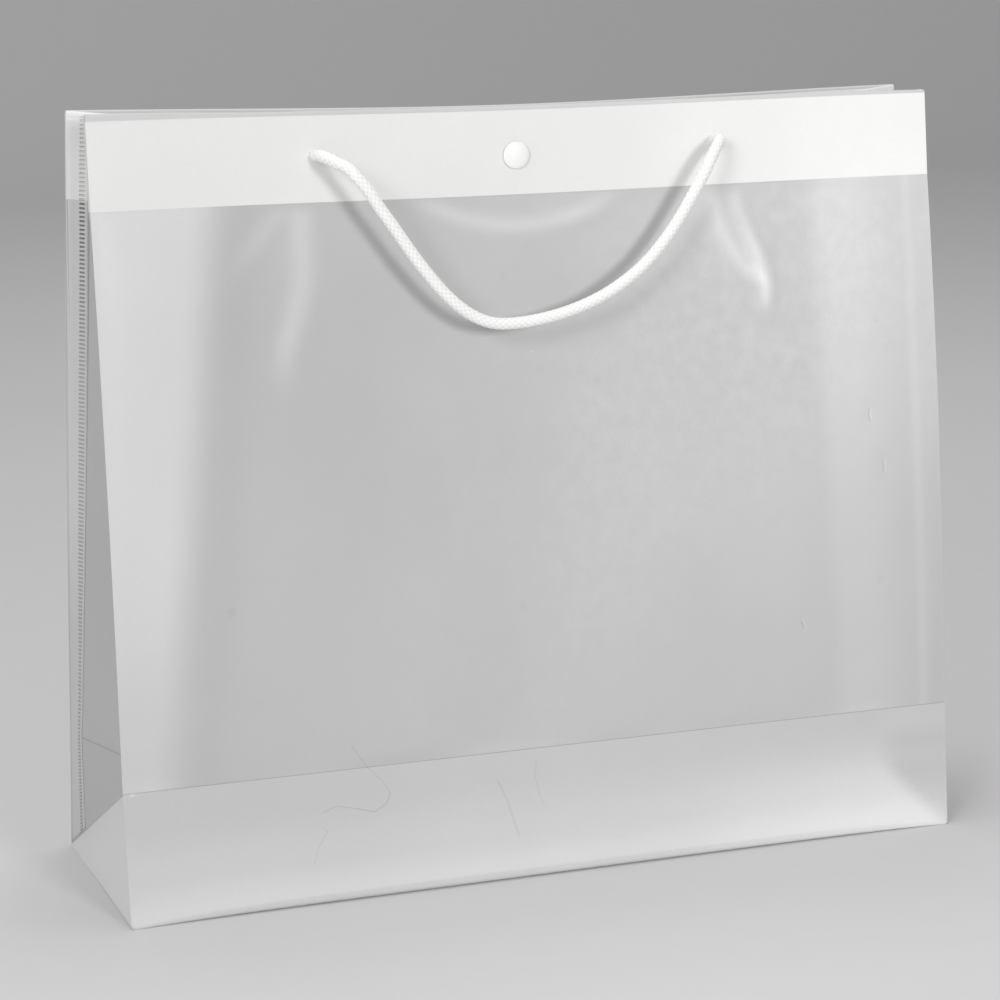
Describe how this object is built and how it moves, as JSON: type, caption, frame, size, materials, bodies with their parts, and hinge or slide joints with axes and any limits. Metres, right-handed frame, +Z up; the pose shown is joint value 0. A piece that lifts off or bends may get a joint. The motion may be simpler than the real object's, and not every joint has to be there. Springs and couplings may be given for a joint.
{
  "type": "plastic carrier bag",
  "caption": "Frosted plastic carrier bag with a block bottom, folded-in gussets, a stiffened hem, cord handles and a press snap at the mouth.",
  "frame": {"origin": "middle of the base, on the surface that the bag stands on", "axes": "+Z up; the front panel faces -Y; +X along the panel's width, to the right as seen from the front"},
  "size_m": [0.4004, 0.12, 0.3477],
  "materials": {
    "frosted_film": "frosted, translucent",
    "white_strip": "matt white",
    "white_cord": "braided",
    "white_snap": "glossy"
  },
  "bodies": {
    "root": {"bag_sheet": "frosted_film", "front_stiffener": "white_strip", "back_stiffener": "white_strip", "front_handle_cord": "white_cord", "back_handle_cord": "white_cord", "front_left_knot": "white_cord", "front_right_knot": "white_cord", "back_left_knot": "white_cord", "back_right_knot": "white_cord", "snap_front_cap": "white_snap", "snap_socket": "white_snap", "snap_back_cap": "white_snap", "snap_stud": "white_snap"}
  },
  "joints": []
}
